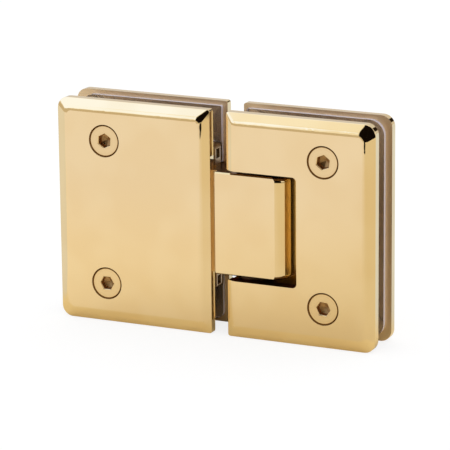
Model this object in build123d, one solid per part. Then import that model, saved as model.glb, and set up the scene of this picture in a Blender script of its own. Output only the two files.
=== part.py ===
# Glass-to-glass shower door hinge, 180 degrees when closed, swinging both ways.
#
# The fixed leaf clamps the side panel and carries the hinge body with its knuckle.
# The door leaf clamps the door glass and carries the pin in a forked bracket.
# Spring-loaded rollers in the hinge body press on flats of the pin and hold the door closed.
#
# Everything is modelled about the pin: X = 0 and Y = 0 on the pin axis, Z = 0 at mid-height,
# the front of the hinge faces -Y and the door leaf lies towards +X.
# save() moves the finished pieces so that the origin is the centre of the hinge's base.

import os
from math import sqrt

from build123d import *

os.makedirs("parts", exist_ok=True)

# ---- leaves ----
leaf_height = 90.0
fixed_leaf_width = 66.0
door_leaf_width = 62.0
leaf_gap = 7.0                  # between the two leaves when closed
pin_setback = 8.0               # pin axis behind the door leaf's inner edge

# ---- clamped glass ----
glass_thickness = 10.0
gasket_thickness = 1.8
cutout_half_height = 29.0       # the notch in the glass, which is also the screw spacing's half

# ---- cover plates ----
plate_wall = 3.2                # straight side wall of a plate
bevel_depth = 1.8
bevel_width = 3.8
door_inner_bevel_width = 3.1    # beside the gap, on the door leaf only
outer_corner_radius = 4.6
inner_corner_radius = 1.0
face_outer_corner_radius = 3.2  # corners of the flat face, inside the bevel
face_inner_corner_radius = 2.4
door_face_inner_radius = 1.6    # the same corner beside the narrower bevel
blend_radius = 5.0              # soft run-out from bevel to flat face
rim_round = 0.25                # polished edge between bevel and side wall

# ---- notch of the door plates ----
notch_depth = 30.0
notch_clearance = 1.5           # knuckle's ends to the notch
notch_corner_radius = 1.8
notch_mouth_radius = 0.8

# ---- gaskets ----
gasket_outer_inset = 2.6
gasket_inner_inset = 1.9
gasket_end_inset = 1.7
gasket_outer_radius = 6.0
gasket_upper_radius = 0.6
gasket_lower_radius = 3.2
gasket_lip_width = 3.6          # strip that runs on past the tongue's ears
gasket_lip_clearance = 0.35     # lip to the tongue and to the knuckle's neck
gasket_lip_setback = 0.4        # lip behind the face that the glass rests on

# ---- hinge body ----
knuckle_half_height = 20.5
knuckle_length = 15.5           # beyond the pin axis
knuckle_recess = 2.1            # its face lies this far behind the plate faces
knuckle_groove = 1.7            # between the fixed plates and the raised knuckle
knuckle_bevel_width = 3.5
knuckle_bevel_depth = 2.0
knuckle_bevel_crown = 0.25      # the bevel is slightly convex
knuckle_end_round = 2.0         # upper and lower edge of its free end
knuckle_edge_chamfer = 0.5
tongue_inset = 1.2              # tongue's end face behind the fixed plates' inner edge
tongue_length = 34.0
tongue_corner_radius = 1.2
tongue_ear_round = 3.0          # upright edges of the ears' end faces
tongue_sleeve_gap = 2.1         # tongue to the sleeves of the plate screws
cutout_clearance = 0.5          # metal to glass, all round the notch
lock_slot_width = 3.2
lock_slot_height = 3.8
lock_slot_depth = 4.0
lock_slot_offset = 2.9          # slot centre below the tongue's end

# ---- pin and bushes ----
pin_radius = 5.0
running_clearance = 0.04
bush_wall = 1.5
bush_length = 7.0
bush_flange_radius = 7.5
bush_axial_play = 0.25          # flange to bracket arm
bore_relief = 0.4               # knuckle bore around the pin between the bushes
detent_depth = 0.25             # flats of the pin below its round
detent_height = 6.0
pin_end_recess = 0.3

# ---- spring rollers ----
plunger_bush_gap = 0.5          # plungers stand this far inside the bushes
roller_radius = 3.0
roller_thickness = 3.6
roller_clearance = 0.06
roller_gap = 0.05               # roller to the round of the pin
axle_radius = 1.0
axle_length = 6.4
plunger_radius = 4.0
plunger_length = 12.0
plunger_nose = 1.3              # fork ends behind the round of the pin
fork_clearance = 0.2
bore_clearance = 0.08
spring_wire_radius = 0.55
spring_inset = 0.9              # middle of the wire inside the plunger's round
spring_turns = 8

# ---- spring cover ----
cover_thickness = 2.5
cover_edge_distance = 3.0       # cover screws from the cover's ends
cover_screw_offset = 8.0        # cover screws beyond the springs
cover_screw_radius = 1.5
cover_screw_head_radius = 2.9
cover_screw_length = 7.0

# ---- door bracket ----
bracket_arm_gap = 0.25          # arms to the edge of the plates' notch
bracket_edge_inset = 1.0        # arm ends behind the door plates' inner edge
bracket_arm_radius = 3.0
bracket_rib_half_width = 3.5    # rib that closes the space behind the knuckle's end
bracket_rib_gap = 1.0
roll_pin_radius = 1.25
roll_pin_wall = 0.45
roll_pin_slot = 0.5

# ---- plate screws, M6 countersunk with hex socket ----
door_screw_setback = 11.0       # behind the end of the notch
screw_radius = 3.0
screw_head_radius = 6.1
screw_hole_clearance = 0.3
screw_sink_gap = 0.45           # countersink is wider than the head by this
screw_recess = 0.3              # head below the plate's face
screw_tip_gap = 1.3             # tip to the end of its blind hole
head_rim = 0.5
socket_across_flats = 4.0
socket_depth = 2.4
socket_chamfer = 0.35
thread_clearance = 0.05
boss_radius = 5.5
boss_height = 7.6
blind_floor = 2.0               # metal left behind a blind hole in a rear plate
sleeve_outer_radius = 7.7
sleeve_clearance = 0.15
sleeve_shortfall = 0.6          # so that the screws clamp the glass and not the sleeve

# ---- inner screws, M5 cap, hold the body and the bracket to the rear plates ----
cap_radius = 2.5
cap_head_radius = 4.25
cap_head_height = 5.0
cap_head_sink = 0.6
cap_socket = 4.0
cap_socket_depth = 2.5
cap_hole_clearance = 0.25
cap_head_clearance = 0.3
body_screw_level = 21.5
body_screw_setback = 17.0       # from the tongue's end face
bracket_screw_level = 11.0
bracket_screw_setback = 5.1     # from the bracket's notch side

# ---- worked out from the sizes above ----
plate_gap = glass_thickness + 2 * gasket_thickness
plate_thickness = plate_wall + bevel_depth
inner_y = plate_gap / 2                         # inner faces of the plates
face_y = inner_y + plate_thickness              # outer faces of the plates
half_height = leaf_height / 2
notch_half_height = knuckle_half_height + notch_clearance
door_inner_x = -pin_setback
door_outer_x = door_inner_x + door_leaf_width
fixed_inner_x = door_inner_x - leaf_gap
fixed_outer_x = fixed_inner_x - fixed_leaf_width
screw_level = cutout_half_height
notch_end_x = door_inner_x + notch_depth
door_screw_x = notch_end_x + door_screw_setback
knuckle_y = face_y - knuckle_recess
knuckle_start_x = fixed_inner_x + knuckle_groove
tongue_end_x = fixed_inner_x - tongue_inset
tongue_back_x = tongue_end_x - tongue_length
fixed_screw_x = tongue_back_x - sleeve_outer_radius - tongue_sleeve_gap
ear_radius = sleeve_outer_radius + cutout_clearance     # round ears of the glass notch
block_half_height = cutout_half_height - cutout_clearance
knuckle_side_y = knuckle_y - knuckle_bevel_depth
knuckle_end_radius = sqrt(knuckle_length ** 2 + knuckle_side_y ** 2)
spring_coil_radius = plunger_radius - spring_inset
screw_hole_radius = screw_radius + screw_hole_clearance
screw_length = 2 * face_y - screw_recess - blind_floor - screw_tip_gap
cap_hole_radius = cap_radius + cap_hole_clearance
bush_outer_radius = pin_radius + running_clearance + bush_wall
flat_distance = pin_radius - detent_depth
roller_level = knuckle_half_height - bush_length - plunger_bush_gap - plunger_radius
cover_screw_level = roller_level + cover_screw_offset
cover_half_height = cover_screw_level + cover_edge_distance
roller_x = -(pin_radius + roller_gap + roller_radius)
plunger_front_x = -(pin_radius + plunger_nose)
plunger_back_x = plunger_front_x - plunger_length
spring_bore_radius = plunger_radius + bore_clearance
arm_inner_z = notch_half_height + bracket_arm_gap
bracket_start_x = door_inner_x + bracket_edge_inset
bracket_back_x = door_screw_x - cutout_clearance
bush_flange_thickness = arm_inner_z - knuckle_half_height - bush_axial_play
arm_middle_z = (arm_inner_z + block_half_height) / 2
body_screw_x = tongue_end_x - body_screw_setback
bracket_screw_x = notch_end_x + bracket_arm_gap + bracket_screw_setback

base_centre = Pos(-(fixed_outer_x + door_outer_x) / 2, 0, half_height)


def save(name, shape):
    """Writes one piece with the origin at the centre of the hinge's base."""
    export_step(base_centre * shape, f"parts/{name}.step")


def at_depth(y):
    """Drawing plane parallel to the plates at depth y, drawn as seen from the front."""
    return Plane.XZ.offset(-y)


def slab(face, y_low, y_high):
    """Extrudes a face drawn in X and Z through the depth from y_low to y_high."""
    return extrude(at_depth(y_high) * face, y_high - y_low)


def rod(radius, x, z, y_low, y_high):
    """Round rod along Y."""
    return slab(Pos(x, z) * Circle(radius), y_low, y_high)


def bar(radius, x_low, x_high, z):
    """Round bar along X at depth 0."""
    return extrude(Plane.YZ.offset(x_low) * Pos(0, z) * Circle(radius), x_high - x_low)


def post(radius, z_low, z_high, x=0.0):
    """Round post along Z at depth 0."""
    return Pos(x, 0, (z_low + z_high) / 2) * Cylinder(radius, z_high - z_low)


def block(x_low, x_high, y_low, y_high, z_low, z_high):
    """Rectangular block between its limits."""
    centre = Pos((x_low + x_high) / 2, (y_low + y_high) / 2, (z_low + z_high) / 2)
    return centre * Box(x_high - x_low, y_high - y_low, z_high - z_low)


def leaf_outline(outer_x, inner_x, half_z, outer_radius, inner_radius):
    """Upright rectangle with its own corner radius at the outer and the inner edge."""
    face = Pos((outer_x + inner_x) / 2, 0) * Rectangle(abs(outer_x - inner_x), 2 * half_z)
    outer_corners = face.vertices().filter_by(lambda v: abs(v.X - outer_x) < 0.001)
    face = fillet(outer_corners, outer_radius)
    inner_corners = face.vertices().filter_by(lambda v: abs(v.X - inner_x) < 0.001)
    return fillet(inner_corners, inner_radius)


def plate_blank(outer_x, inner_x, inner_bevel, inner_radius):
    """Front cover plate without holes: side wall, wide bevel and a soft run-out to the face."""
    inward = 1 if inner_x > outer_x else -1
    rim = leaf_outline(outer_x, inner_x, half_height, outer_corner_radius, inner_corner_radius)
    flat = leaf_outline(
        outer_x + inward * bevel_width,
        inner_x - inward * inner_bevel,
        half_height - bevel_width,
        face_outer_corner_radius,
        inner_radius,
    )
    wall_y = inner_y + plate_wall
    wall = slab(rim, -wall_y, -inner_y)
    bevel = loft([at_depth(-wall_y) * rim, at_depth(-face_y) * flat], ruled=True)
    blank = wall + bevel
    face_edges = blank.faces().sort_by(Axis.Y)[0].edges()
    blank = fillet(face_edges, blend_radius)
    rim_edges = blank.edges().filter_by(lambda e: e.bounding_box().max.Y < 0.001 - wall_y)
    rim_edges = rim_edges.filter_by(lambda e: e.bounding_box().min.Y > -0.001 - wall_y)
    return fillet(rim_edges, rim_round)


def notch_face():
    """Opening of the door plates around the knuckle, with its flared mouth."""
    overrun = 5.0
    depth = notch_depth + overrun
    face = Pos(notch_end_x - depth / 2, 0) * Rectangle(depth, 2 * notch_half_height)
    mouth_height = 2 * (notch_half_height + overrun)
    face += Pos(door_inner_x - overrun / 2, 0) * Rectangle(overrun, mouth_height)
    ends = face.vertices().filter_by(lambda v: abs(v.X - notch_end_x) < 0.001)
    face = fillet(ends, notch_corner_radius)
    mouth = face.vertices().filter_by(
        lambda v: abs(v.X - door_inner_x) < 0.001 and abs(abs(v.Y) - notch_half_height) < 0.001
    )
    return fillet(mouth, notch_mouth_radius)


def countersink(x, z):
    """Clearance hole, 90 degree seat for the head and a short straight mouth around it."""
    mouth_radius = screw_head_radius + screw_sink_gap
    cone_y = -face_y + screw_recess + head_rim - screw_sink_gap
    hole = rod(screw_hole_radius, x, z, -face_y - 1, -inner_y + 1)
    mouth = rod(mouth_radius, x, z, -face_y - 1, cone_y)
    cone = loft([
        at_depth(cone_y) * Pos(x, z) * Circle(mouth_radius),
        at_depth(cone_y + mouth_radius - screw_hole_radius) * Pos(x, z) * Circle(screw_hole_radius),
    ])
    return hole + mouth + cone


def front_plate(blank, screw_x):
    """Cover plate with its two countersunk screw holes."""
    plate = blank
    for side in (-1, 1):
        plate -= countersink(screw_x, side * screw_level)
    return plate


def rear_plate(blank, screw_x, inner_screw_x, inner_screw_level):
    """Closed back plate: two tapped bosses for the plate screws, two blind holes for the cap screws."""
    plate = mirror(blank, about=Plane.XZ)
    hole_floor = face_y - blind_floor
    for side in (-1, 1):
        plate += rod(boss_radius, screw_x, side * screw_level, inner_y - boss_height, inner_y)
        plate -= rod(screw_radius, screw_x, side * screw_level, inner_y - boss_height, hole_floor)
        plate -= rod(cap_radius, inner_screw_x, side * inner_screw_level, inner_y, hole_floor)
    return plate


def cut_notch(plate):
    """Door plates are open around the knuckle."""
    return plate - slab(notch_face(), -face_y - 1, face_y + 1)


def gasket(outer_x, inner_x, screw_x, side):
    """Clear gasket between a plate and the glass, cut out like the glass itself."""
    inward = 1 if inner_x > outer_x else -1
    start_x = outer_x + inward * gasket_outer_inset
    end_x = inner_x - inward * gasket_inner_inset
    face = Pos((start_x + end_x) / 2, 0) * Rectangle(abs(end_x - start_x), 2 * (half_height - gasket_end_inset))
    outer_corners = face.vertices().filter_by(lambda v: abs(v.X - start_x) < 0.001)
    face = fillet(outer_corners, gasket_outer_radius)
    inner_corners = face.vertices().filter_by(lambda v: abs(v.X - end_x) < 0.001).sort_by(Axis.Y)
    face = fillet(inner_corners[0], gasket_lower_radius)
    inner_corners = face.vertices().filter_by(lambda v: abs(v.X - end_x) < 0.001).sort_by(Axis.Y)
    face = fillet(inner_corners[-1], gasket_upper_radius)
    face -= Pos((inner_x + screw_x) / 2, 0) * Rectangle(abs(inner_x - screw_x), 2 * cutout_half_height)
    for level in (-screw_level, screw_level):
        face -= Pos(screw_x, level) * Circle(ear_radius)
    glass_y = glass_thickness / 2
    return slab(face, glass_y, inner_y) if side > 0 else slab(face, -inner_y, -glass_y)


def gasket_lips(side):
    """Thinner strips of the fixed gaskets that run on past the tongue's ears, clear of the glass."""
    end_x = fixed_inner_x - gasket_inner_inset
    low = knuckle_half_height + gasket_lip_clearance
    high = cutout_half_height + 1
    strips = Pos(end_x - gasket_lip_width / 2, (low + high) / 2) * Rectangle(gasket_lip_width, high - low)
    strips += mirror(strips, about=Plane.XZ)
    lip_y = glass_thickness / 2 + gasket_lip_setback
    return slab(strips, lip_y, inner_y) if side > 0 else slab(strips, -inner_y, -lip_y)


def cap_screw_hole(x, z):
    """Through hole and head counterbore for a cap screw, entered from the front."""
    head_floor = -inner_y + cap_head_sink + cap_head_height
    hole = rod(cap_hole_radius, x, z, -inner_y, inner_y)
    return hole + rod(cap_head_radius + cap_head_clearance, x, z, -inner_y, head_floor)


def hinge_body():
    """One casting: tongue between the fixed plates, neck, and the knuckle around the pin."""
    tongue_face = Pos((tongue_back_x + tongue_end_x) / 2, 0) * Rectangle(tongue_length, 2 * block_half_height)
    tongue_face = fillet(tongue_face.vertices(), tongue_corner_radius)
    body = slab(tongue_face, -inner_y, inner_y)
    body += block(
        tongue_end_x - 1, knuckle_start_x + 1,
        -inner_y, inner_y,
        -knuckle_half_height, knuckle_half_height,
    )
    body += knuckle()
    lip_x = fixed_inner_x - gasket_inner_inset - gasket_lip_width - gasket_lip_clearance
    rebate_y = glass_thickness / 2
    ear = Pos((lip_x + tongue_end_x) / 2, 0) * Rectangle(tongue_end_x - lip_x, 2 * rebate_y)
    ear_corners = ear.vertices().filter_by(lambda v: abs(v.X - tongue_end_x) < 0.001)
    ear = fillet(ear_corners, tongue_ear_round)
    ear_space = Pos((lip_x + tongue_end_x) / 2, 0) * Rectangle(tongue_end_x - lip_x, 2 * inner_y)
    for side in (-1, 1):
        rebate = extrude(ear_space - ear, block_half_height)
        body -= Pos(0, 0, knuckle_half_height if side > 0 else -knuckle_half_height - block_half_height) * rebate
        slot_z = side * (block_half_height - lock_slot_offset)
        body -= block(
            tongue_end_x - lock_slot_depth, tongue_end_x + 1,
            -lock_slot_width / 2, lock_slot_width / 2,
            slot_z - lock_slot_height / 2, slot_z + lock_slot_height / 2,
        )
        body -= bar(spring_bore_radius, tongue_back_x - 1, -bore_relief, side * roller_level)
        body -= cap_screw_hole(body_screw_x, side * body_screw_level)
        cover_thread = cover_screw_length - cover_thickness
        body -= bar(cover_screw_radius, tongue_back_x, tongue_back_x + cover_thread, side * cover_screw_level)
        seat = side * (knuckle_half_height - bush_length)
        end = side * (knuckle_half_height + 1)
        body -= post(bush_outer_radius, min(seat, end), max(seat, end))
    body -= post(pin_radius + bore_relief, -knuckle_half_height, knuckle_half_height)
    return body


def knuckle():
    """Raised block around the pin, bevelled towards its free end, which is round about the pin."""
    length = knuckle_end_radius - knuckle_start_x
    middle = (knuckle_end_radius + knuckle_start_x) / 2
    shape = Pos(middle, 0, 0) * Box(length, 2 * knuckle_y, 2 * knuckle_half_height)
    shape &= post(knuckle_end_radius, -knuckle_half_height, knuckle_half_height)
    bevel_start_x = knuckle_length - knuckle_bevel_width
    for side in (-1, 1):
        start = Vector(bevel_start_x, side * knuckle_y)
        end = Vector(knuckle_length, side * knuckle_side_y)
        outward = Vector(knuckle_bevel_depth, side * knuckle_bevel_width).normalized()
        crest = (start + end) / 2 + outward * knuckle_bevel_crown
        outside = Polyline(
            end,
            (knuckle_end_radius + 1, side * knuckle_side_y),
            (knuckle_end_radius + 1, side * (knuckle_y + 1)),
            (bevel_start_x, side * (knuckle_y + 1)),
            start,
        )
        profile = make_face([ThreePointArc(start, crest, end), *outside.edges()])
        shape -= extrude(profile, knuckle_half_height, both=True)
    flat_edges = shape.edges().filter_by(lambda e: abs(abs(e.center().Z) - knuckle_half_height) < 0.001)
    end_edges = flat_edges.filter_by(lambda e: e.bounding_box().min.X > bevel_start_x - 0.001)
    shape = fillet(end_edges, knuckle_end_round)
    long_edges = shape.edges().filter_by(Axis.X)
    face_edges = long_edges.filter_by(lambda e: abs(abs(e.center().Y) - knuckle_y) < 0.001)
    return chamfer(face_edges, knuckle_edge_chamfer)


def bush(side):
    """Flanged bush in one end of the knuckle."""
    seat = knuckle_half_height - bush_length
    top = knuckle_half_height + bush_flange_thickness
    shape = post(bush_outer_radius, seat, knuckle_half_height)
    shape += post(bush_flange_radius, knuckle_half_height, top)
    shape -= post(pin_radius + running_clearance, seat, top)
    return shape if side > 0 else mirror(shape, about=Plane.XY)


def pivot_pin():
    """Pin with three detent flats at each roller and a cross hole at each end."""
    half_length = block_half_height - pin_end_recess
    pin = chamfer(post(pin_radius, -half_length, half_length).edges(), 0.5)
    reach = 2 * pin_radius
    for side in (-1, 1):
        low = side * roller_level - detent_height / 2
        high = side * roller_level + detent_height / 2
        pin -= block(-reach, -flat_distance, -reach, reach, low, high)
        pin -= block(-reach, reach, flat_distance, reach, low, high)
        pin -= block(-reach, reach, -reach, -flat_distance, low, high)
        pin -= rod(roll_pin_radius, 0, side * arm_middle_z, -reach, reach)
    return pin


def roller(side):
    """Small steel roller with its axis parallel to the pin."""
    z = side * roller_level
    low, high = z - roller_thickness / 2, z + roller_thickness / 2
    shape = chamfer(post(roller_radius, low, high, roller_x).edges(), 0.3)
    return shape - post(axle_radius + running_clearance, low, high, roller_x)


def roller_axle(side):
    """Axle that holds a roller in its plunger."""
    z = side * roller_level
    return post(axle_radius, z - axle_length / 2, z + axle_length / 2, roller_x)


def plunger(side):
    """Forked plunger that carries the roller and is pushed by the spring."""
    z = side * roller_level
    shape = bar(plunger_radius, plunger_back_x, plunger_front_x, z)
    fork_depth = abs(plunger_front_x - roller_x) + roller_radius + fork_clearance
    slot_half = roller_thickness / 2 + roller_clearance
    shape -= block(
        plunger_front_x - fork_depth, plunger_front_x + 1,
        -plunger_radius, plunger_radius,
        z - slot_half, z + slot_half,
    )
    shape -= post(axle_radius, z - plunger_radius, z + plunger_radius, roller_x)
    back_edge = shape.edges().filter_by(GeomType.CIRCLE).sort_by(Axis.X)[0]
    return chamfer(back_edge, 0.4)


def spring(side):
    """Compression spring between the plunger and the cover."""
    coil_length = plunger_back_x - tongue_back_x - 2 * spring_wire_radius
    pitch = coil_length / spring_turns
    start = (tongue_back_x + spring_wire_radius, 0, side * roller_level)
    path = Helix(pitch, coil_length, spring_coil_radius, center=start, direction=(1, 0, 0))
    section = Plane(origin=path @ 0, z_dir=path % 0) * Circle(spring_wire_radius)
    return sweep(section, path=path, is_frenet=True)


def spring_cover():
    """Plate that closes both spring bores at the back of the tongue."""
    plate = block(
        tongue_back_x - cover_thickness, tongue_back_x,
        -inner_y + cutout_clearance, inner_y - cutout_clearance,
        -cover_half_height, cover_half_height,
    )
    plate = chamfer(plate.edges().filter_by(Axis.X), 1.5)
    for side in (-1, 1):
        plate -= cover_screw_shape(side, 0.1)
    return plate


def cover_screw_shape(side, clearance):
    """Countersunk outline of a cover screw, grown by a clearance for its hole."""
    z = side * cover_screw_level
    outer_x = tongue_back_x - cover_thickness
    head_depth = cover_screw_head_radius - cover_screw_radius
    shape = bar(cover_screw_radius + clearance, outer_x, outer_x + cover_screw_length, z)
    shape += loft([
        Plane.YZ.offset(outer_x) * Pos(0, z) * Circle(cover_screw_head_radius + clearance),
        Plane.YZ.offset(outer_x + head_depth) * Pos(0, z) * Circle(cover_screw_radius + clearance),
    ])
    return shape


def cover_screw(side):
    """Small countersunk screw with a cross slot reduced to one plain slot."""
    z = side * cover_screw_level
    outer_x = tongue_back_x - cover_thickness
    shape = cover_screw_shape(side, -0.02)
    return shape - block(outer_x, outer_x + 0.9, -4, 4, z - 0.4, z + 0.4)


def pin_bracket():
    """Fork in the notch of the door glass: two arms hold the pin, the spine backs the notch."""
    depth = bracket_back_x - bracket_start_x
    face = Pos((bracket_start_x + bracket_back_x) / 2, 0) * Rectangle(depth, 2 * block_half_height)
    arm_ends = face.vertices().filter_by(lambda v: abs(v.X - bracket_start_x) < 0.001)
    face = fillet(arm_ends, bracket_arm_radius)
    opening_end = notch_end_x + bracket_arm_gap
    opening_depth = opening_end - bracket_start_x + 1
    opening = Pos(opening_end - opening_depth / 2, 0) * Rectangle(opening_depth, 2 * arm_inner_z)
    opening_corners = opening.vertices().filter_by(lambda v: abs(v.X - opening_end) < 0.001)
    opening = fillet(opening_corners, notch_corner_radius)
    face -= opening
    for level in (-screw_level, screw_level):
        face -= Pos(door_screw_x, level) * Circle(sleeve_outer_radius + cutout_clearance)
    shape = slab(face, -inner_y, inner_y)
    shape += block(
        knuckle_end_radius + bracket_rib_gap, opening_end + 1,
        -bracket_rib_half_width, bracket_rib_half_width,
        -arm_inner_z - 1, arm_inner_z + 1,
    )
    shape -= post(pin_radius, -block_half_height, block_half_height)
    for side in (-1, 1):
        shape -= rod(roll_pin_radius, 0, side * arm_middle_z, -inner_y, inner_y)
        shape -= cap_screw_hole(bracket_screw_x, side * bracket_screw_level)
    return shape


def roll_pin(side):
    """Slotted spring pin through a bracket arm and the pivot pin."""
    z = side * arm_middle_z
    end = inner_y - 0.3
    shape = rod(roll_pin_radius, 0, z, -end, end)
    shape -= rod(roll_pin_radius - roll_pin_wall, 0, z, -end, end)
    return shape - block(-roll_pin_radius - 1, 0, -end, end, z - roll_pin_slot / 2, z + roll_pin_slot / 2)


def plate_screw(x, side):
    """M6 countersunk screw, its head just below the face of the front plate."""
    z = side * screw_level
    top = -face_y + screw_recess
    rim_y = top + head_rim
    cone_y = rim_y + screw_head_radius - screw_radius
    shank_radius = screw_radius - thread_clearance
    shape = rod(screw_head_radius, x, z, top, rim_y)
    shape += loft([
        at_depth(rim_y) * Pos(x, z) * Circle(screw_head_radius),
        at_depth(cone_y) * Pos(x, z) * Circle(shank_radius),
    ])
    shank = chamfer(rod(shank_radius, x, z, rim_y, top + screw_length).edges().sort_by(Axis.Y)[-1], 0.6)
    shape += shank
    socket = RegularPolygon(socket_across_flats / 2, 6, major_radius=False)
    shape -= slab(Pos(x, z) * socket, top, top + socket_depth)
    mouth_radius = socket_across_flats / sqrt(3) + socket_chamfer / 2
    shape -= loft([
        at_depth(top) * Pos(x, z) * Circle(mouth_radius),
        at_depth(top + socket_chamfer) * Pos(x, z) * Circle(mouth_radius - socket_chamfer),
    ])
    return shape


def screw_sleeve(x, side):
    """Soft sleeve that keeps the glass off the screw and its boss."""
    z = side * screw_level
    reach = inner_y - sleeve_shortfall / 2
    shape = rod(sleeve_outer_radius, x, z, -reach, reach)
    return shape - rod(boss_radius + sleeve_clearance, x, z, -reach, reach)


def cap_screw(x, z):
    """M5 cap screw that draws a block onto its rear plate."""
    top = -inner_y + cap_head_sink
    seat = top + cap_head_height
    head = rod(cap_head_radius, x, z, top, seat)
    head = chamfer(head.edges().sort_by(Axis.Y)[0], 0.4)
    tip = face_y - blind_floor - 0.5
    shank_radius = cap_radius - thread_clearance
    shape = head + rod(shank_radius, x, z, seat, tip)
    socket = RegularPolygon(cap_socket / 2, 6, major_radius=False)
    return shape - slab(Pos(x, z) * socket, top, top + cap_socket_depth)


leaves = {
    "fixed": (fixed_outer_x, fixed_inner_x, fixed_screw_x),
    "door": (door_outer_x, door_inner_x, door_screw_x),
}
inner_screws = {
    "fixed": (body_screw_x, body_screw_level),
    "door": (bracket_screw_x, bracket_screw_level),
}
levels = {"upper": 1, "lower": -1}

inner_bevels = {
    "fixed": (bevel_width, face_inner_corner_radius),
    "door": (door_inner_bevel_width, door_face_inner_radius),
}

for leaf, (outer_x, inner_x, screw_x) in leaves.items():
    blank = plate_blank(outer_x, inner_x, *inner_bevels[leaf])
    front = front_plate(blank, screw_x)
    rear = rear_plate(blank, screw_x, *inner_screws[leaf])
    if leaf == "door":
        front = cut_notch(front)
        rear = cut_notch(rear)
    save(f"{leaf}_front_plate", front)
    save(f"{leaf}_rear_plate", rear)
    front_seal = gasket(outer_x, inner_x, screw_x, -1)
    rear_seal = gasket(outer_x, inner_x, screw_x, 1)
    if leaf == "fixed":
        front_seal += gasket_lips(-1)
        rear_seal += gasket_lips(1)
    save(f"{leaf}_front_gasket", front_seal)
    save(f"{leaf}_rear_gasket", rear_seal)
    for level, side in levels.items():
        save(f"{leaf}_{level}_screw", plate_screw(screw_x, side))
        save(f"{leaf}_{level}_sleeve", screw_sleeve(screw_x, side))

save("hinge_body", hinge_body())
save("pivot_pin", pivot_pin())
save("pin_bracket", pin_bracket())
save("spring_cover", spring_cover())
for level, side in levels.items():
    save(f"{level}_bush", bush(side))
    save(f"{level}_roller", roller(side))
    save(f"{level}_roller_axle", roller_axle(side))
    save(f"{level}_plunger", plunger(side))
    save(f"{level}_spring", spring(side))
    save(f"{level}_cover_screw", cover_screw(side))
    save(f"{level}_roll_pin", roll_pin(side))
    save(f"{level}_body_screw", cap_screw(body_screw_x, side * body_screw_level))
    save(f"{level}_bracket_screw", cap_screw(bracket_screw_x, side * bracket_screw_level))
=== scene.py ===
from math import cos, radians, sin

import bpy
from mathutils import Matrix, Vector


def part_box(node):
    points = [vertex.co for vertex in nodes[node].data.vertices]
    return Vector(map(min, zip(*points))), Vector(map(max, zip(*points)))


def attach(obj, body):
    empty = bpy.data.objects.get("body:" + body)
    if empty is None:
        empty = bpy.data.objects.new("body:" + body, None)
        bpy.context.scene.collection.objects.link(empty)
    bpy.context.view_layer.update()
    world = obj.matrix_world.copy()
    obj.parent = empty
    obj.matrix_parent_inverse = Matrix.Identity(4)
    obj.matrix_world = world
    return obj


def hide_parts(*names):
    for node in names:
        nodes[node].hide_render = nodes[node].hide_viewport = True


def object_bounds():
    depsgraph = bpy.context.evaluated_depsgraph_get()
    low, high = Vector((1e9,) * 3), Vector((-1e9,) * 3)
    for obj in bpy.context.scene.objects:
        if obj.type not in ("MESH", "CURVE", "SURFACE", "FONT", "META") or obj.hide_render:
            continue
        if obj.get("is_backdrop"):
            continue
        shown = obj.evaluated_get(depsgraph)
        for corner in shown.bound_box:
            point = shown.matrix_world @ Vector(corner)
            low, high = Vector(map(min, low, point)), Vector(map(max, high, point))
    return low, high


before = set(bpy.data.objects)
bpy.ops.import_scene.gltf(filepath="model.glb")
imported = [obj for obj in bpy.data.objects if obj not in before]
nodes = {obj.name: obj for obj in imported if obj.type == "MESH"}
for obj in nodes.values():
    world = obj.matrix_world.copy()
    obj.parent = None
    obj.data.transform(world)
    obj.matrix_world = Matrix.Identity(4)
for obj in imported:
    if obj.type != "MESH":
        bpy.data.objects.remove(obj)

bpy.context.scene.view_settings.view_transform = "Standard"
cadLow, cadHigh = (Vector(corner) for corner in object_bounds())
middle = (cadLow + cadHigh) / 2
screwLow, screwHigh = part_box("door_upper_screw")
doorLow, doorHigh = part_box("door_front_plate")
faceDepth = abs(cadHigh.y)     # from the middle plane to the plates' outer faces
backDepth = abs(doorHigh.y)    # and to their inner faces, on both sides alike
print("frame loaded:", len(nodes), "nodes")


def rgb(red, green, blue):
    return (red, green, blue, 1.0)


white = rgb(1, 1, 1)
squareOn = (0.85, 0.95)        # how squarely a face looks along an axis to count as facing it


def add(tree, kind, **settings):
    node = tree.nodes.new(kind)
    for name, value in settings.items():
        setattr(node, name, value)
    return node


def join(tree, value, socket):
    # a socket is linked, a plain value is set
    if isinstance(value, bpy.types.NodeSocket):
        tree.links.new(value, socket)
    else:
        socket.default_value = value


def calc(tree, operation, *values):
    node = add(tree, "ShaderNodeMath", operation=operation)
    for socket, value in zip(node.inputs, values):
        join(tree, value, socket)
    return node.outputs[0]


def times(tree, first, *others):
    # several masks at once
    for other in others:
        first = calc(tree, "MULTIPLY", first, other)
    return first


def fade(tree, value, start, end):
    # 0 at start, 1 at end, soft in between
    node = add(tree, "ShaderNodeMapRange", interpolation_type="SMOOTHSTEP")
    join(tree, value, node.inputs["Value"])
    join(tree, start, node.inputs["From Min"])
    join(tree, end, node.inputs["From Max"])
    return node.outputs["Result"]


def closeTo(tree, value, target, width):
    # 1 where the value is close to the target
    away = calc(tree, "ABSOLUTE", calc(tree, "SUBTRACT", value, target))
    return fade(tree, away, width, width * 0.5)


def blendColours(tree, mask, first, second):
    node = add(tree, "ShaderNodeMix", data_type="RGBA")
    join(tree, mask, node.inputs["Factor"])
    join(tree, first, node.inputs["A"])
    join(tree, second, node.inputs["B"])
    return node.outputs["Result"]


def noise(tree, vector, scale, detail=2.0, roughness=0.5):
    node = add(tree, "ShaderNodeTexNoise")
    join(tree, vector, node.inputs["Vector"])
    join(tree, scale, node.inputs["Scale"])
    node.inputs["Detail"].default_value = detail
    node.inputs["Roughness"].default_value = roughness
    return node.outputs["Fac"]


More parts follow.
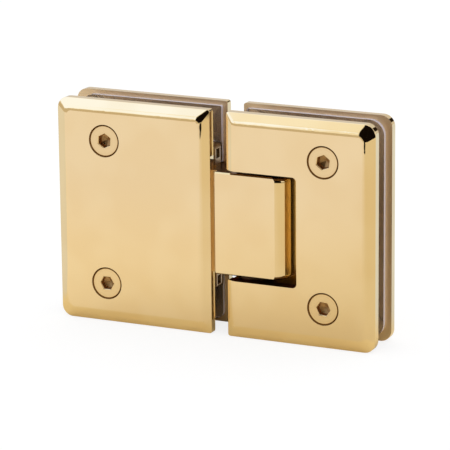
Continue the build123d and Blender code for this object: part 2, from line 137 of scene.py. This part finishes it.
def bump(tree, height, distance):
    node = add(tree, "ShaderNodeBump")
    join(tree, distance, node.inputs["Distance"])
    join(tree, height, node.inputs["Height"])
    return node.outputs["Normal"]


def objectSpace(tree):
    return add(tree, "ShaderNodeTexCoord").outputs["Object"]


def split(tree, vector):
    node = add(tree, "ShaderNodeSeparateXYZ")
    join(tree, vector, node.inputs[0])
    return node.outputs


def slope(tree, axis):
    # 1 where the surface looks along the axis, either way, and 0 where it looks across it
    normal = split(tree, add(tree, "ShaderNodeTexCoord").outputs["Normal"])
    return calc(tree, "ABSOLUTE", normal[axis])


def facing(tree, axis):
    return fade(tree, slope(tree, axis), *squareOn)


def seenDirectly(tree):
    # 1 for what is looked at itself, also through something clear, and 0 for its mirror image
    rays = add(tree, "ShaderNodeLightPath").outputs
    return calc(tree, "MAXIMUM", rays["Is Camera Ray"], rays["Is Transmission Ray"])


def newGroup(name, inputs, outputs):
    group = bpy.data.node_groups.new(name, "ShaderNodeTree")
    for label, kind, value in inputs:
        socket = group.interface.new_socket(label, in_out="INPUT", socket_type=kind)
        if value is not None:
            socket.default_value = value
    for label, kind in outputs:
        group.interface.new_socket(label, in_out="OUTPUT", socket_type=kind)
    given = add(group, "NodeGroupInput").outputs
    result = add(group, "NodeGroupOutput").inputs
    return group, given, result


def place(tree, group, vector, **values):
    node = add(tree, "ShaderNodeGroup", node_tree=group)
    join(tree, vector, node.inputs["Vector"])
    for label, value in values.items():
        join(tree, value, node.inputs[label])
    return node.outputs


def newMaterial(name):
    material = bpy.data.materials.new(name)
    material.use_nodes = True
    tree = material.node_tree
    tree.nodes.clear()
    shader = add(tree, "ShaderNodeBsdfPrincipled")
    join(tree, shader.outputs[0], add(tree, "ShaderNodeOutputMaterial").inputs["Surface"])
    return material, tree, shader


camera = {
    "azimuth": 24.87,      # degrees to the right of straight ahead
    "elevation": 15.1,
    "roll": -0.6,
    "distance": 1.1646,    # metres from the aim point
    "lens": 237.8,
    "sensor": 36,
    "nearest": 0.01,
    "aimDrop": 0.00317,    # aim point below the hinge's middle
}


def addCamera(c):
    azimuth, elevation, roll = (radians(c[turn]) for turn in ("azimuth", "elevation", "roll"))
    back = Vector((
        sin(azimuth) * cos(elevation),
        -cos(azimuth) * cos(elevation),
        sin(elevation),
    ))
    right = Vector((0, 0, 1)).cross(back).normalized()
    up = back.cross(right)
    turned = Matrix((
        right * cos(roll) + up * sin(roll),
        up * cos(roll) - right * sin(roll),
        back,
    )).transposed().to_4x4()
    aim = middle - Vector((0, 0, c["aimDrop"]))
    data = bpy.data.cameras.new("camera")
    data.lens = c["lens"]
    data.sensor_width = c["sensor"]
    data.clip_start = c["nearest"]
    body = bpy.data.objects.new("camera", data)
    body.matrix_world = Matrix.Translation(aim + back * c["distance"]) @ turned
    bpy.context.scene.collection.objects.link(body)
    bpy.context.scene.camera = body


addCamera(camera)
print("camera set")

# Softboxes and black flags stand around the hinge in these directions, in degrees.
# Azimuth is 0 in front and grows to the right.
studio = {
    "room": rgb(0.98, 0.98, 0.98),
    "horizon": rgb(0.64, 0.58, 0.47),
    "horizonRange": (3, 8),
    "boxes": [
        # azimuth, elevation, half width, half height, soft edge, colour
        (-62, 42, 42, 37, 3, rgb(1.14, 1.38, 2.0)),
        (-20, 42, 9.8, 37, 1.2, rgb(1.09, 1.17, 1.28)),
        (-16.2, 42, 11.7, 37, 3, rgb(1.02, 1.03, 0.96)),
        (-28, 17, 6, 9, 3, rgb(1.14, 1.38, 1.95)),
        (12.5, 20.5, 33.5, 30.5, 2.5, rgb(0.006, 0.004, 0.003)),
        (-170, 15, 60, 25, 12, rgb(0.72, 0.72, 0.74)),
        (159, 19, 9, 11, 2, rgb(0.02, 0.012, 0.006)),
    ],
    "fill": rgb(1.04, 1.04, 1.05),    # light on all that isn't a mirror
}


def softboxGroup():
    names = ("Azimuth", "Elevation", "Centre Azimuth", "Centre Elevation",
             "Half Width", "Half Height", "Soft Edge")
    group, given, result = newGroup(
        "softbox",
        [(name, "NodeSocketFloat", 0.0) for name in names],
        [("Mask", "NodeSocketFloat")],
    )
    sideways = calc(group, "SUBTRACT", given["Azimuth"], given["Centre Azimuth"])
    sideways = calc(group, "WRAP", sideways, 180.0, -180.0)
    upward = calc(group, "SUBTRACT", given["Elevation"], given["Centre Elevation"])
    masks = []
    for away, half in ((sideways, given["Half Width"]), (upward, given["Half Height"])):
        away = calc(group, "ABSOLUTE", away)
        masks.append(fade(group, away, half, calc(group, "SUBTRACT", half, given["Soft Edge"])))
    join(group, times(group, *masks), result["Mask"])
    return group


def buildWorld(s):
    world = bpy.data.worlds.new("studio")
    world.use_nodes = True
    bpy.context.scene.world = world
    tree = world.node_tree
    tree.nodes.clear()
    unit = add(tree, "ShaderNodeVectorMath", operation="NORMALIZE")
    join(tree, add(tree, "ShaderNodeTexCoord").outputs["Generated"], unit.inputs[0])
    x, y, z = split(tree, unit.outputs[0])
    azimuth = calc(tree, "DEGREES", calc(tree, "ARCTAN2", x, calc(tree, "MULTIPLY", y, -1.0)))
    elevation = calc(tree, "DEGREES", calc(tree, "ARCSINE", z))
    above = fade(tree, elevation, *s["horizonRange"])
    colour = blendColours(tree, above, s["horizon"], s["room"])
    group = softboxGroup()
    for centreAzimuth, centreElevation, halfWidth, halfHeight, softEdge, light in s["boxes"]:
        box = add(tree, "ShaderNodeGroup", node_tree=group)
        for label, value in (
            ("Azimuth", azimuth), ("Elevation", elevation),
            ("Centre Azimuth", centreAzimuth), ("Centre Elevation", centreElevation),
            ("Half Width", halfWidth), ("Half Height", halfHeight), ("Soft Edge", softEdge),
        ):
            join(tree, value, box.inputs[label])
        colour = blendColours(tree, box.outputs["Mask"], colour, light)
    mirrored = add(tree, "ShaderNodeLightPath").outputs["Is Glossy Ray"]
    colour = blendColours(tree, mirrored, s["fill"], colour)
    colour = blendColours(tree, seenDirectly(tree), colour, white)
    background = add(tree, "ShaderNodeBackground")
    join(tree, colour, background.inputs["Color"])
    join(tree, background.outputs[0], add(tree, "ShaderNodeOutputWorld").inputs["Surface"])


floorLook = {
    "size": 6.0,
    "roughness": 0.9,
    "paper": rgb(0.22, 0.22, 0.22),     # the rest of the way to white is glow,
    "paperGlow": 0.80,                  # so that the hinge's shadow stays soft
    # Painted reflection: what the polished metal mirrors, painted on the floor zone by zone, each
    # laid over the last, and not seen by the camera. A pair of numbers is where a zone starts and
    # where it is full, in metres in the direction of its name.
    "mirrored": rgb(0.92, 0.91, 0.94),
    "near": rgb(0.98, 0.935, 0.83),
    "nearFront": (0.25, 0.03),
    "warm": rgb(0.80, 0.73, 0.56),
    "warmRight": (-0.07, 0.14),
    "warmFront": (-0.02, 0.03),
    "foot": rgb(0.93, 0.85, 0.61),      # painted shade, right under the hinge's edge
    "footFront": (0.030, 0.016),
    "left": rgb(0.83, 0.86, 0.89),
    "leftEdge": 0.066,
    "leftSlant": 0.8,
    "leftFront": (0.0, -0.012),
    "far": rgb(0.64, 0.58, 0.47),       # painted dark, far in front of the hinge
    "farFront": (0.335, 0.44),
    "paintedCard": rgb(0.006, 0.004, 0.003),   # painted black patch, like the foot of a black card, with a slanted side
    "cardFront": (0.345, 0.365),
    "cardRight": (0.02, 0.05),
    "cardSlant": 0.38,
    "cornerFront": (0.331, 0.336),      # the patch's near corner
    "cornerRight": (0.03, 0.04),
    "cornerLeft": (0.12, 0.105),
    "cornerSlant": 2.0,
    "rear": rgb(0.78, 0.87, 0.98),
    "rearBack": (0.0, 0.05),
}


def paintedCardFoot(tree, x, front, f):
    cardStart, cardFull = f["cardFront"]
    beyond = calc(tree, "SUBTRACT", front, cardFull)
    slanted = calc(tree, "MULTIPLY_ADD", beyond, f["cardSlant"], x)
    foot = times(tree, fade(tree, slanted, *f["cardRight"]),
                 fade(tree, front, *f["cardFront"]))
    before = calc(tree, "MINIMUM", calc(tree, "SUBTRACT", front, cardStart), 0.0)
    leaning = calc(tree, "MULTIPLY_ADD", before, f["cornerSlant"], x)
    corner = times(tree, fade(tree, leaning, *f["cornerRight"]), fade(tree, x, *f["cornerLeft"]),
                   fade(tree, front, *f["cornerFront"]))
    return calc(tree, "MAXIMUM", foot, corner)


def buildFloor(f):
    bpy.ops.object.select_all(action="DESELECT")
    bpy.ops.mesh.primitive_plane_add(size=f["size"], location=(0, 0, 0))
    floor = bpy.context.object
    floor.name = "floor"
    material, tree, shader = newMaterial("floorPaper")
    x, y, z = split(tree, objectSpace(tree))
    front = calc(tree, "MULTIPLY", y, -1.0)
    beside = calc(tree, "ADD", x, f["leftEdge"])
    beside = calc(tree, "MULTIPLY_ADD", beside, f["leftSlant"], front)
    colour = f["mirrored"]
    # painted reflection: zone colours that only mirrors and bounced light see
    for zone, mask in (
        ("near", fade(tree, front, *f["nearFront"])),
        ("warm", times(tree, fade(tree, x, *f["warmRight"]), fade(tree, front, *f["warmFront"]))),
        ("foot", fade(tree, front, *f["footFront"])),
        ("left", fade(tree, beside, *f["leftFront"])),
        ("far", fade(tree, front, *f["farFront"])),
        ("paintedCard", paintedCardFoot(tree, x, front, f)),
        ("rear", fade(tree, y, *f["rearBack"])),
    ):
        colour = blendColours(tree, mask, colour, f[zone])
    seen = seenDirectly(tree)
    join(tree, blendColours(tree, seen, colour, f["paper"]), shader.inputs["Base Color"])
    shader.inputs["Emission Color"].default_value = white
    glow = calc(tree, "MULTIPLY", seen, f["paperGlow"])
    join(tree, glow, shader.inputs["Emission Strength"])
    shader.inputs["Roughness"].default_value = f["roughness"]
    shader.inputs["Specular IOR Level"].default_value = 0.0
    floor.data.materials.append(material)
    floor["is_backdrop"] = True


buildWorld(studio)
buildFloor(floorLook)
print("studio built")

# surface detail that several finishes share
surfaceDetail = {
    "waveDetail": 1.0,
    "fineWaves": 9.0,                   # times finer than the broad waves
    "fineHeight": 0.06,
    "smearTurn": (0.3, 0.5, 0.2),
    "smearStretch": (1.0, 1.0, 2.4),
    "smearDetail": 4.0,
    "smearBreakup": 0.62,
    "smearStart": 0.85,                 # lower by half of what is covered
    "smearFull": 0.9,
    "speckSize": 60.0,                  # times finer than the smears
    "speckDetail": 1.0,
    "speckRange": (0.68, 0.78),
    "speckWeight": 0.35,
    "grainDetail": 3.0,
    "grainBreakup": 0.6,
}


def buildPolishWaver(d):
    # hand polishing leaves a surface that is never quite flat
    group, given, result = newGroup(
        "polishWaver",
        [("Vector", "NodeSocketVector", None), ("Scale", "NodeSocketFloat", 60.0),
         ("Depth", "NodeSocketFloat", 0.00001)],
        [("Normal", "NodeSocketVector"), ("Mask", "NodeSocketFloat")],
    )
    broad = noise(group, given["Vector"], given["Scale"], d["waveDetail"])
    fineScale = calc(group, "MULTIPLY", given["Scale"], d["fineWaves"])
    fine = noise(group, given["Vector"], fineScale)
    height = calc(group, "MULTIPLY_ADD", fine, d["fineHeight"], broad)
    join(group, bump(group, height, given["Depth"]), result["Normal"])
    join(group, broad, result["Mask"])
    return group


def buildHandlingMarks(d):
    # faint wiped smears and specks of dust
    group, given, result = newGroup(
        "handlingMarks",
        [("Vector", "NodeSocketVector", None), ("Scale", "NodeSocketFloat", 40.0),
         ("Cover", "NodeSocketFloat", 0.5)],
        [("Mask", "NodeSocketFloat")],
    )
    wiped = add(group, "ShaderNodeMapping")
    join(group, given["Vector"], wiped.inputs["Vector"])
    wiped.inputs["Rotation"].default_value = d["smearTurn"]
    wiped.inputs["Scale"].default_value = d["smearStretch"]
    smear = noise(group, wiped.outputs["Vector"], given["Scale"],
                  d["smearDetail"], d["smearBreakup"])
    halfCover = calc(group, "MULTIPLY", given["Cover"], 0.5)
    start = calc(group, "SUBTRACT", d["smearStart"], halfCover)
    smear = fade(group, smear, start, d["smearFull"])
    speckScale = calc(group, "MULTIPLY", given["Scale"], d["speckSize"])
    speck = noise(group, given["Vector"], speckScale, d["speckDetail"])
    speck = calc(group, "MULTIPLY", fade(group, speck, *d["speckRange"]), d["speckWeight"])
    join(group, calc(group, "MAXIMUM", smear, speck), result["Mask"])
    return group


def buildMetalGrain(d):
    group, given, result = newGroup(
        "metalGrain",
        [("Vector", "NodeSocketVector", None), ("Scale", "NodeSocketFloat", 1500.0),
         ("Depth", "NodeSocketFloat", 0.00002)],
        [("Normal", "NodeSocketVector"), ("Mask", "NodeSocketFloat")],
    )
    coarse = noise(group, given["Vector"], given["Scale"], d["grainDetail"], d["grainBreakup"])
    join(group, bump(group, coarse, given["Depth"]), result["Normal"])
    join(group, coarse, result["Mask"])
    return group


polishWaver = buildPolishWaver(surfaceDetail)
handlingMarks = buildHandlingMarks(surfaceDetail)
metalGrain = buildMetalGrain(surfaceDetail)


def heightFromMiddle(tree, z):
    return calc(tree, "ABSOLUTE", calc(tree, "SUBTRACT", z, middle.z))


def screwRadius(tree, x, z):
    # distance from the nearest plate screw's axis
    centre = (screwLow + screwHigh) / 2
    sideways = calc(tree, "SUBTRACT", calc(tree, "ABSOLUTE", x), abs(centre.x))
    upward = calc(tree, "SUBTRACT", heightFromMiddle(tree, z), abs(centre.z - middle.z))
    squared = calc(tree, "ADD", times(tree, sideways, sideways), times(tree, upward, upward))
    return calc(tree, "SQRT", squared)


# Polished plates and knuckle. Each zone is a place that the polish doesn't reach; the notch walls,
# the knuckle's top and bottom, the core between the panes and the screw seats are also painted
# dark for the shade that falls there. Every zone but the end has its own colour, and its
# roughness is added to that of the polish.
gold = {
    "colour": rgb(0.88, 0.675, 0.375),
    "deep": rgb(0.86, 0.645, 0.345),
    "deepRange": (0.35, 0.65),
    "roughness": 0.03,
    "marksScale": 38.0,
    "marksCover": 0.4,
    "marksRoughness": 0.035,
    "waverScale": 55.0,
    "waverDepth": 0.000006,
    "soft": 0.0004,                          # soft edge of most zones
    "insideColour": rgb(0.84, 0.64, 0.42),   # backs of the plates
    "insideRoughness": 0.42,
    "insideGrain": 900.0,
    "insideSkin": (0.0002, 0.0001),
    "notchColour": rgb(0.13, 0.07, 0.028),   # painted shade on the walls above and below the knuckle
    "notchRoughness": 0.3,
    "notchHalfHeight": 0.022,
    "notchSkin": 0.0006,
    "notchDepth": 0.030,
    "notchMouth": (0.0002, 0.0004),
    "endRoughness": 0.3,                     # the notch's upright end keeps its colour
    "grazingShade": rgb(0.35, 0.17, 0.06),          # painted shade: the dark tint that their reflection takes at a low angle
    "flankHeight": 0.0205,                   # top and bottom of the knuckle, from the middle
    "flankSkin": 0.0002,
    # painted shade on the knuckle's top and bottom, which face the notch walls across a narrow gap
    "flankColour": rgb(0.27, 0.17, 0.09),
    "flankRoughness": 0.25,
    "flankGrazingShade": 0.4,
    "chamfer": 0.0005,                       # narrow edge between the knuckle's face and flanks
    "chamferSlope": (0.7, 0.2),
    "chamferColour": rgb(0.76, 0.54, 0.24),
    "chamferRoughness": 0.1,
    "coreStart": 0.0212,                     # what lies between the panes is left as cast, and painted dark for the shade there
    "coreSkin": (0.0006, 0.0010),
    "coreColour": rgb(0.46, 0.31, 0.17),
    "coreRoughness": 0.28,
    "seatRadius": 0.0075,                    # holes for the screw heads, painted dark for the shade in them
    "seatSoft": 0.0002,
    "seatSkin": (0.00001, 0.00003),
    "seatColour": rgb(0.36, 0.18, 0.05),
    "seatRoughness": 0.35,
}


def goldZones(tree, here, look):
    x, y, z = split(tree, here)
    soft = look["soft"]
    depth = calc(tree, "ABSOLUTE", y)
    level = heightFromMiddle(tree, z)
    along = calc(tree, "SUBTRACT", x, doorLow.x)
    backs = times(tree, facing(tree, 1),
                  fade(tree, depth, *(backDepth + skin for skin in look["insideSkin"])))
    inNotch = times(tree, fade(tree, along, *look["notchMouth"]),
                    fade(tree, along, look["notchDepth"], look["notchDepth"] - soft))
    notchWalls = closeTo(tree, level, look["notchHalfHeight"], look["notchSkin"])
    flank = closeTo(tree, level, look["flankHeight"], look["flankSkin"])
    chamferHeight = look["flankHeight"] - look["chamfer"] / 2
    chamfer = times(tree, closeTo(tree, slope(tree, 2), *look["chamferSlope"]),
                    closeTo(tree, level, chamferHeight, look["chamfer"]))
    core = times(tree, fade(tree, level, look["coreStart"], look["coreStart"] + soft),
                 fade(tree, depth, *(backDepth - skin for skin in look["coreSkin"])))
    end = times(tree, closeTo(tree, along, look["notchDepth"], soft), facing(tree, 0))
    inSeat = fade(tree, screwRadius(tree, x, z),
                  look["seatRadius"], look["seatRadius"] - look["seatSoft"])
    seat = times(tree, inSeat, fade(tree, depth, *(faceDepth - skin for skin in look["seatSkin"])))
    # the notch walls, the knuckle's top and bottom, the core and the seats carry painted shade
    return {
        "inside": backs,
        "notch": times(tree, notchWalls, inNotch, facing(tree, 2)),
        "flank": times(tree, flank, facing(tree, 2)),
        "chamfer": chamfer,
        "core": core,
        "end": end,
        "seat": seat,
    }


def goldFinish(name, look):
    material, tree, shader = newMaterial(name)
    shader.inputs["Metallic"].default_value = 1.0
    here = objectSpace(tree)
    waver = place(tree, polishWaver, here, Scale=look["waverScale"], Depth=look["waverDepth"])
    marks = place(tree, handlingMarks, here, Scale=look["marksScale"], Cover=look["marksCover"])
    grain = place(tree, metalGrain, here, Scale=look["insideGrain"])
    uneven = fade(tree, waver["Mask"], *look["deepRange"])
    colour = blendColours(tree, uneven, look["colour"], look["deep"])
    dull = blendColours(tree, grain["Mask"], look["insideColour"], look["deep"])
    rough = calc(tree, "MULTIPLY_ADD", marks["Mask"], look["marksRoughness"], look["roughness"])
    zones = goldZones(tree, here, look)
    # zone colours, painted shade among them
    for zone, mask in zones.items():
        if zone != "end":
            zoneColour = dull if zone == "inside" else look[zone + "Colour"]
            colour = blendColours(tree, mask, colour, zoneColour)
        rough = calc(tree, "MULTIPLY_ADD", mask, look[zone + "Roughness"], rough)
    flankGrazing = calc(tree, "MULTIPLY", zones["flank"], look["flankGrazingShade"])
    grazingShaded = calc(tree, "MAXIMUM", calc(tree, "MAXIMUM", zones["notch"], flankGrazing),
                   zones["seat"])
    # painted shade darkens the low-angle reflection in the notch, on the knuckle's top and bottom
    # and in the seats
    join(tree, blendColours(tree, grazingShaded, white, look["grazingShade"]), shader.inputs["Specular Tint"])
    join(tree, colour, shader.inputs["Base Color"])
    join(tree, rough, shader.inputs["Roughness"])
    join(tree, waver["Normal"], shader.inputs["Normal"])
    return material


metalMarks = {
    "scale": 90.0,
    "cover": 0.8,
    "dirtWeight": 0.5,
}
casting = {
    "metallic": 1.0,
    "colour": rgb(0.86, 0.65, 0.27),
    "second": rgb(0.95, 0.76, 0.38),
    "dirt": rgb(0.40, 0.24, 0.09),
    "grain": 1600.0,
    "depth": 0.00003,
    "roughness": 0.24,
    "roughRange": 0.25,
    "pocketLight": rgb(1.0, 0.80, 0.44),        # painted light: walls around the pin made bright, for light bounced between them
    "pocketDepth": (0.0036, 0.0040),
    "pocketHalfHeight": (0.0205, 0.0200),
    "shelfShade": rgb(0.24, 0.14, 0.06),        # painted shade on faces that look up or down
    "grazingShade": rgb(0.55, 0.34, 0.17),        # painted shade: the dark tint that their reflection takes at a low angle
}
groundSteel = {
    "metallic": 1.0,
    "colour": rgb(0.56, 0.54, 0.51),
    "second": rgb(0.66, 0.64, 0.61),
    "dirt": rgb(0.22, 0.19, 0.16),
    "grain": 2600.0,
    "depth": 0.00001,
    "roughness": 0.16,
    "roughRange": 0.18,
}
blackOxide = {
    "metallic": 0.85,
    "colour": rgb(0.055, 0.055, 0.06),
    "second": rgb(0.10, 0.10, 0.105),
    "dirt": rgb(0.16, 0.13, 0.10),
    "grain": 3000.0,
    "depth": 0.00001,
    "roughness": 0.30,
    "roughRange": 0.20,
}
# bushes of oiled bronze, kept this dark also as painted shade in the gap beside the knuckle
oiledBronzeAndShade = {
    "metallic": 1.0,
    "colour": rgb(0.17, 0.10, 0.05),
    "second": rgb(0.26, 0.165, 0.085),
    "dirt": rgb(0.05, 0.03, 0.02),
    "grain": 4200.0,
    "depth": 0.00002,
    "roughness": 0.26,
    "roughRange": 0.22,
}


def castFinish(name, look):
    material, tree, shader = newMaterial(name)
    shader.inputs["Metallic"].default_value = look["metallic"]
    here = objectSpace(tree)
    grain = place(tree, metalGrain, here, Scale=look["grain"], Depth=look["depth"])
    marks = place(tree, handlingMarks, here, Scale=metalMarks["scale"], Cover=metalMarks["cover"])
    colour = blendColours(tree, grain["Mask"], look["colour"], look["second"])
    dirt = calc(tree, "MULTIPLY", marks["Mask"], metalMarks["dirtWeight"])
    colour = blendColours(tree, dirt, colour, look["dirt"])
    if "pocketLight" in look:
        x, y, z = split(tree, here)
        # painted light on the walls around the pin
        pocketLight = times(tree, fade(tree, calc(tree, "ABSOLUTE", y), *look["pocketDepth"]),
                       fade(tree, heightFromMiddle(tree, z), *look["pocketHalfHeight"]))
        colour = blendColours(tree, pocketLight, colour, look["pocketLight"])
        # painted shade on faces that look up or down
        shelfShade = facing(tree, 2)
        colour = blendColours(tree, shelfShade, colour, look["shelfShade"])
        tint = blendColours(tree, shelfShade, white, look["grazingShade"])
        join(tree, tint, shader.inputs["Specular Tint"])
    rough = calc(tree, "MULTIPLY_ADD", grain["Mask"], look["roughRange"], look["roughness"])
    join(tree, colour, shader.inputs["Base Color"])
    join(tree, rough, shader.inputs["Roughness"])
    join(tree, grain["Normal"], shader.inputs["Normal"])
    return material


screwHead = {
    "colour": rgb(0.83, 0.615, 0.32),
    "ringColour": rgb(0.79, 0.575, 0.29),
    "rings": 2600.0,               # radians of tool mark per metre of radius
    "ringRange": (-0.6, 0.9),
    "ringBreakup": 700.0,
    "ringDepth": 0.0000012,
    "roughness": 0.08,
    "marksScale": 160.0,
    "marksCover": 0.6,
    "marksRoughness": 0.08,
    "rim": (0.00032, 0.00022),     # painted shade at the edge of the head, from its outside
    "rimShadeColour": rgb(0.30, 0.145, 0.035),
    "rimRoughness": 0.25,
    "socketDepth": (0.00004, 0.0002),
    "socketReach": (0.0032, 0.0031),
    "socketColour": rgb(0.50, 0.29, 0.11),
    "socketRoughness": 0.34,
}


def screwFinish(name, look):
    material, tree, shader = newMaterial(name)
    shader.inputs["Metallic"].default_value = 1.0
    here = objectSpace(tree)
    x, y, z = split(tree, here)
    radius = screwRadius(tree, x, z)
    rings = calc(tree, "SINE", calc(tree, "MULTIPLY", radius, look["rings"]))
    rings = times(tree, fade(tree, rings, *look["ringRange"]),
                  noise(tree, here, look["ringBreakup"]))
    marks = place(tree, handlingMarks, here, Scale=look["marksScale"], Cover=look["marksCover"])
    reach = (screwHigh.x - screwLow.x) / 2
    rim = fade(tree, radius, *(reach - inset for inset in look["rim"]))
    socket = times(tree, fade(tree, y, *(screwLow.y + depth for depth in look["socketDepth"])),
                   fade(tree, radius, *look["socketReach"]))
    colour = blendColours(tree, rings, look["colour"], look["ringColour"])
    # painted shade round the rim of the head
    colour = blendColours(tree, rim, colour, look["rimShadeColour"])
    colour = blendColours(tree, socket, colour, look["socketColour"])
    rough = calc(tree, "MULTIPLY_ADD", marks["Mask"], look["marksRoughness"], look["roughness"])
    rough = calc(tree, "MULTIPLY_ADD", socket, look["socketRoughness"], rough)
    rough = calc(tree, "MULTIPLY_ADD", rim, look["rimRoughness"], rough)
    join(tree, colour, shader.inputs["Base Color"])
    join(tree, rough, shader.inputs["Roughness"])
    join(tree, bump(tree, rings, look["ringDepth"]), shader.inputs["Normal"])
    return material


vinylSurface = {
    "ior": 1.48,
    "hazeScale": 60.0,
    "marksScale": 70.0,
    "marksCover": 0.7,
    "marksAlpha": 0.06,
    "marksRoughness": 0.12,
    "waverScale": 120.0,
    "waverDepth": 0.00008,
}
vinyl = {
    "haze": rgb(0.66, 0.55, 0.48),
    "hazeDeep": rgb(0.58, 0.47, 0.39),
    "edge": rgb(0.80, 0.74, 0.82),
    "alpha": 0.14,
    "edgeAlpha": 0.88,
    "roughness": 0.12,
}
sleeve = {
    "haze": rgb(0.62, 0.60, 0.64),
    "hazeDeep": rgb(0.52, 0.50, 0.54),
    "edge": rgb(0.70, 0.68, 0.74),
    "alpha": 0.45,
    "edgeAlpha": 0.80,
    "roughness": 0.2,
}


def vinylFinish(name, look):
    # clear sheet lying on metal: the flats let the metal through, and the cut edges carry a
    # painted highlight, pale and nearly opaque
    s = vinylSurface
    material, tree, shader = newMaterial(name)
    shader.inputs["IOR"].default_value = s["ior"]
    here = objectSpace(tree)
    flat = facing(tree, 1)
    waver = place(tree, polishWaver, here, Scale=s["waverScale"], Depth=s["waverDepth"])
    marks = place(tree, handlingMarks, here, Scale=s["marksScale"], Cover=s["marksCover"])
    haze = blendColours(tree, noise(tree, here, s["hazeScale"]), look["haze"], look["hazeDeep"])
    alpha = calc(tree, "MULTIPLY_ADD", flat, look["alpha"] - look["edgeAlpha"], look["edgeAlpha"])
    alpha = calc(tree, "MULTIPLY_ADD", marks["Mask"], s["marksAlpha"], alpha)
    rough = calc(tree, "MULTIPLY_ADD", marks["Mask"], s["marksRoughness"], look["roughness"])
    join(tree, blendColours(tree, flat, look["edge"], haze), shader.inputs["Base Color"])
    join(tree, alpha, shader.inputs["Alpha"])
    join(tree, rough, shader.inputs["Roughness"])
    join(tree, waver["Normal"], shader.inputs["Normal"])
    return material


finishes = {
    "polished_gold": goldFinish("polishedGold", gold),
    "gold_casting": castFinish("goldCasting", casting),
    "gold_screw": screwFinish("goldScrew", screwHead),
    "clear_vinyl": vinylFinish("clearVinyl", vinyl),
    "clear_sleeve": vinylFinish("clearSleeve", sleeve),
    "bright_steel": castFinish("brightSteel", groundSteel),
    "dark_steel": castFinish("darkSteel", blackOxide),
    "oiled_bronze": castFinish("oiledBronzeAndShade", oiledBronzeAndShade),
}
print("finishes built")

plateScrew = {
    "sides": 96,
    "socketAcross": 0.0048,
    "socketDepth": 0.0026,
    "drillPoint": 0.0007,     # cone at the bottom of the socket
    "drillTip": 0.05,
    "mouth": 0.0003,          # chamfer round the socket
    "rim": 0.0005,            # straight edge of the head
    "shank": 0.00295,
    "tip": 0.0006,            # the shank's end narrows over this length
    "tipTaper": 0.8,
    "edge": 0.00008,
    "edgeSteps": 2,
    "edgeAngle": 32,          # degrees between faces, from which an edge is rounded
    "smoothAngle": 12,
    "turns": {                # degrees that each socket is turned by
        "fixed_upper_screw": 3,
        "door_upper_screw": 8,
        "fixed_lower_screw": 29,
        "door_lower_screw": 34,
    },
}


def pick(chosen):
    # selects the faces for which the test holds, in edit mode
    mesh = bpy.context.object.data
    bpy.ops.mesh.select_mode(type="FACE")
    bpy.ops.mesh.select_all(action="DESELECT")
    bpy.ops.object.mode_set(mode="OBJECT")
    for face in mesh.polygons:
        face.select = chosen(face)
    bpy.ops.object.mode_set(mode="EDIT")


def pushEnd(distance, scale, centre):
    # extrudes the selected end along y and scales it about the screw's axis
    bpy.ops.mesh.extrude_region_move(TRANSFORM_OT_translate={"value": (0, distance, 0)})
    bpy.ops.transform.resize(value=(scale, 1, scale), center_override=centre)


def turnedPart(sides, radius, start, end, x, z):
    # a prism along y from start to end, left in edit mode with its far end selected
    bpy.ops.object.select_all(action="DESELECT")
    bpy.ops.mesh.primitive_cylinder_add(
        vertices=sides, radius=radius, depth=end - start,
        location=(x, (start + end) / 2, z), rotation=(radians(90), 0, 0),
    )
    bpy.ops.object.transform_apply(location=True, rotation=True, scale=True)
    bpy.ops.object.mode_set(mode="EDIT")
    pick(lambda face: face.normal.y > 0.9)
    return bpy.context.object


def headCentre(node):
    low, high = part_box(node)
    return Vector(((low.x + high.x) / 2, low.y, (low.z + high.z) / 2))


def buildPlateScrew(node, s):
    low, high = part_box(node)
    centre = headCentre(node)
    x, top, z = centre
    reach = (high.x - low.x) / 2
    cone = reach - s["shank"]
    shankLength = high.y - top - s["rim"] - cone - s["tip"]
    piece = turnedPart(s["sides"], reach, top, top + s["rim"], x, z)
    pushEnd(cone, s["shank"] / reach, centre)
    pushEnd(shankLength, 1.0, centre)
    pushEnd(s["tip"], s["tipTaper"], centre)
    bpy.ops.object.mode_set(mode="OBJECT")

    corner = s["socketAcross"] / 3 ** 0.5     # from a hexagon's middle to its corners
    wider = 2 * s["mouth"]
    cutter = turnedPart(6, corner, top + s["mouth"], top + s["socketDepth"], x, z)
    pushEnd(s["drillPoint"], s["drillTip"], centre)
    pick(lambda face: face.normal.y < -0.9)
    pushEnd(-wider, (corner + wider) / corner, centre)
    bpy.ops.object.mode_set(mode="OBJECT")

    bpy.ops.object.select_all(action="DESELECT")
    bpy.context.view_layer.objects.active = piece
    piece.select_set(True)
    cut = piece.modifiers.new("socket", "BOOLEAN")
    cut.object = cutter
    cut.solver = "EXACT"
    bpy.ops.object.modifier_apply(modifier=cut.name)
    bpy.data.objects.remove(cutter)
    edge = piece.modifiers.new("edge", "BEVEL")
    edge.width = s["edge"]
    edge.segments = s["edgeSteps"]
    edge.limit_method = "ANGLE"
    edge.angle_limit = radians(s["edgeAngle"])
    bpy.ops.object.modifier_apply(modifier=edge.name)
    bpy.ops.object.shade_smooth_by_angle(angle=radians(s["smoothAngle"]))
    piece.data.materials.clear()
    piece.data.materials.append(finishes["gold_screw"])
    return piece


def copyPlateScrew(first, start, node, turn):
    piece = first.copy()
    piece.data = first.data.copy()
    bpy.context.scene.collection.objects.link(piece)
    fromStart = Matrix.Translation(-start)
    turned = Matrix.Rotation(radians(turn), 4, "Y")
    piece.data.transform(Matrix.Translation(headCentre(node)) @ turned @ fromStart)
    leaf, level = node.split("_")[:2]
    piece.name = leaf + level.capitalize() + "PlateScrew"
    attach(piece, leaf + "_leaf")
    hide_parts(node)


firstNode = "fixed_upper_screw"
firstScrew = buildPlateScrew(firstNode, plateScrew)
for node, turn in plateScrew["turns"].items():
    copyPlateScrew(firstScrew, headCentre(firstNode), node, turn)
bpy.data.objects.remove(firstScrew)
print("plate screws built")

for body in nodes.values():
    slot = body.material_slots[0]
    slot.material = finishes[slot.material.name.split(".")[0]]
print("finishes applied")
